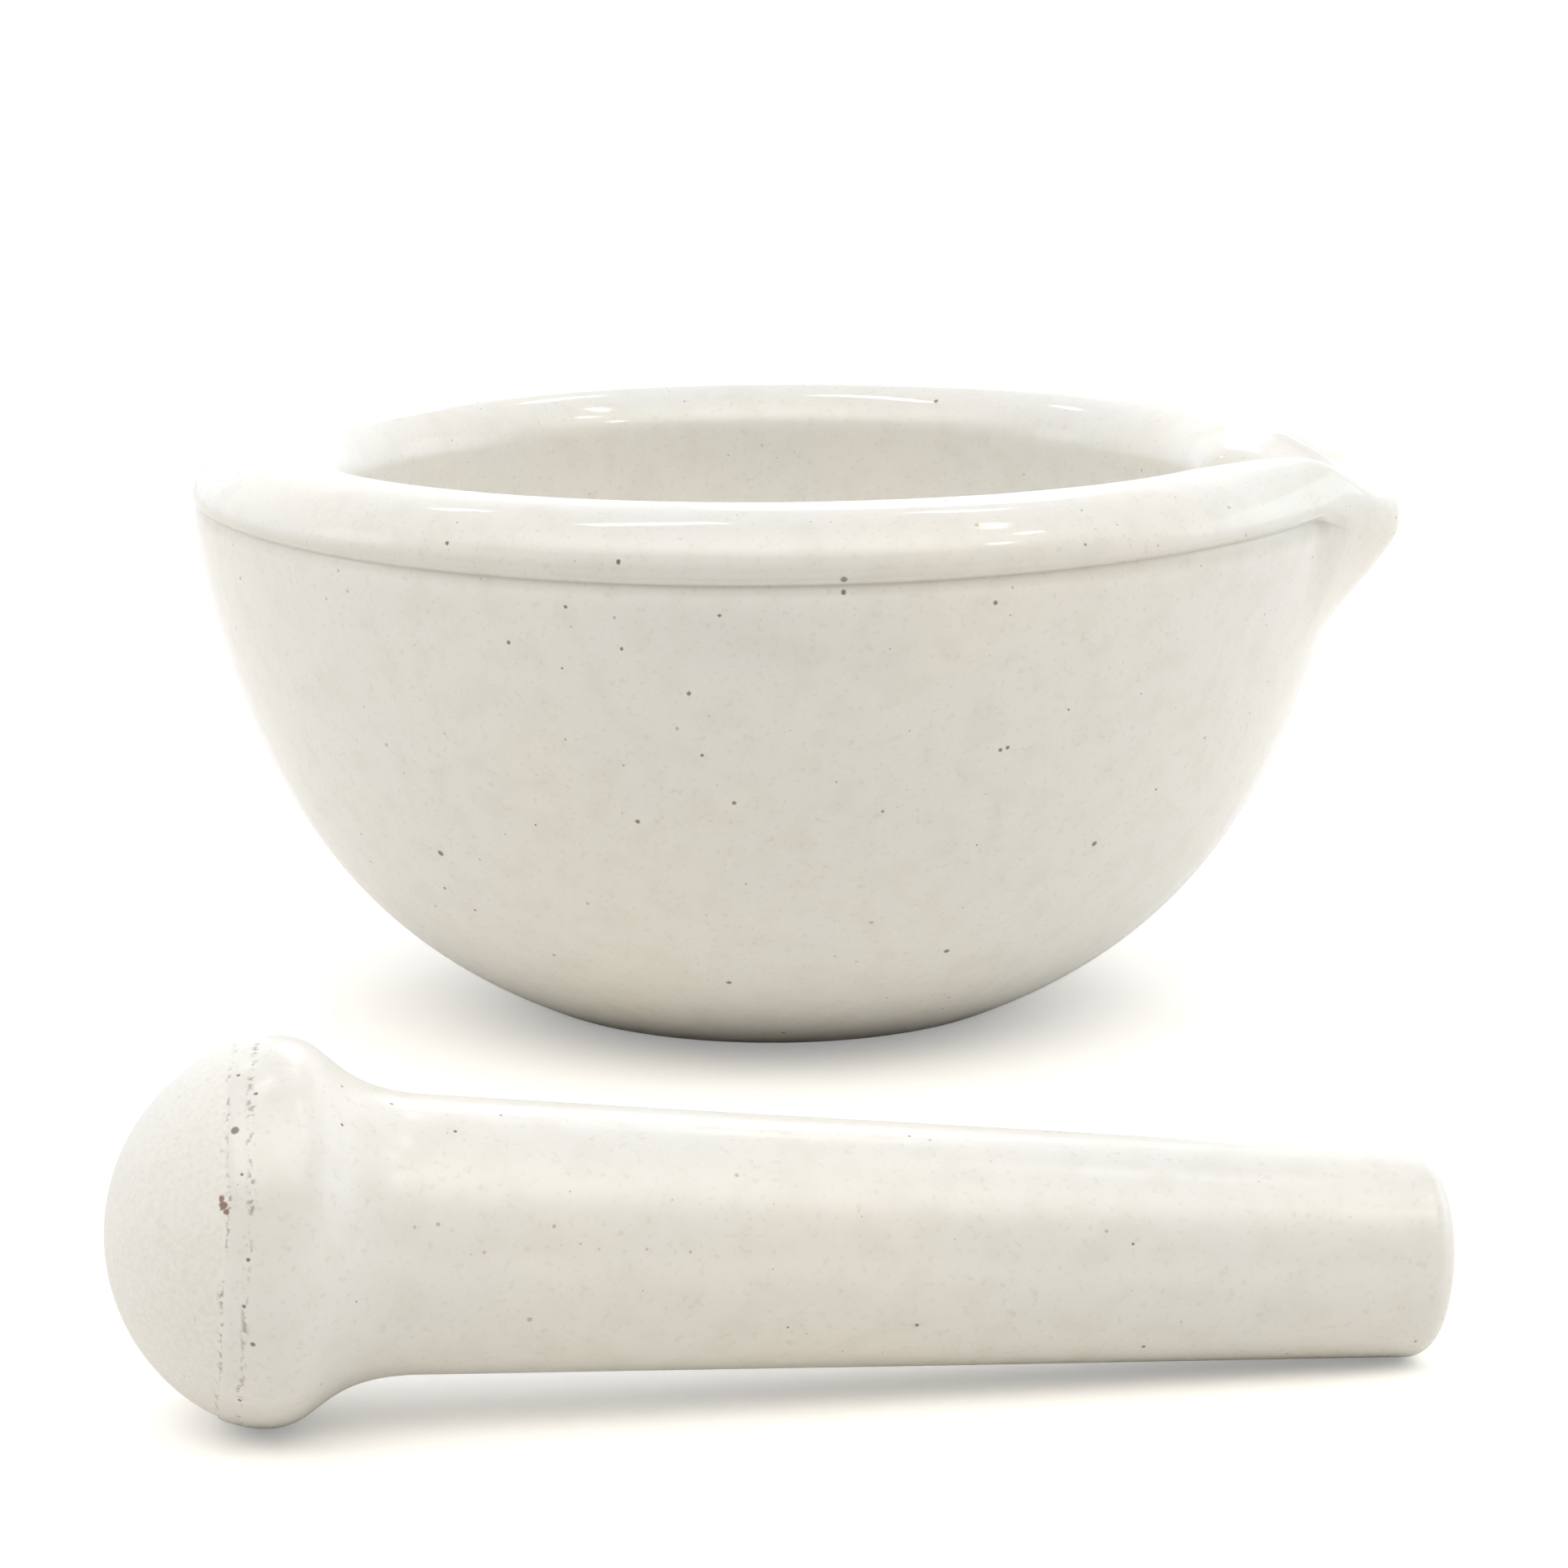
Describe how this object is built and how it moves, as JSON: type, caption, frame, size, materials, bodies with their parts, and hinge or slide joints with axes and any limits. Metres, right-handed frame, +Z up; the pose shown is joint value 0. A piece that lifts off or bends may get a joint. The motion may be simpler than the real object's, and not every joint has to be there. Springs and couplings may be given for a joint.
{
  "type": "mortar and pestle",
  "caption": "Thick-walled porcelain laboratory bowl with a beaded rim and pouring spout, with a round-headed porcelain pestle lying beside it, for grinding solids.",
  "frame": {"origin": "centre of the underside of the mortar's foot, on the surface the object stands on", "axes": "+Z up along the mortar's axis, +X from the axis towards the tip of the spout; the pestle lies on the same surface on the -Y side"},
  "size_m": [0.1141, 0.1815, 0.0492],
  "materials": {
    "mortar_porcelain": "off-white clear-glazed porcelain with small brown specks, glossy, with a bare foot",
    "pestle_porcelain": "off-white clear-glazed porcelain handle and neck, with a bare matt grinding face beyond the glaze line on the head"
  },
  "bodies": {
    "mortar": {"mortar": "mortar_porcelain"},
    "pestle": {"pestle": "pestle_porcelain"}
  },
  "joints": [
    {"name": "pestle_lift", "type": "slide", "parent": "mortar", "child": "pestle", "axis": [0, 0, 1], "range_m": [0, 0.09]}
  ]
}
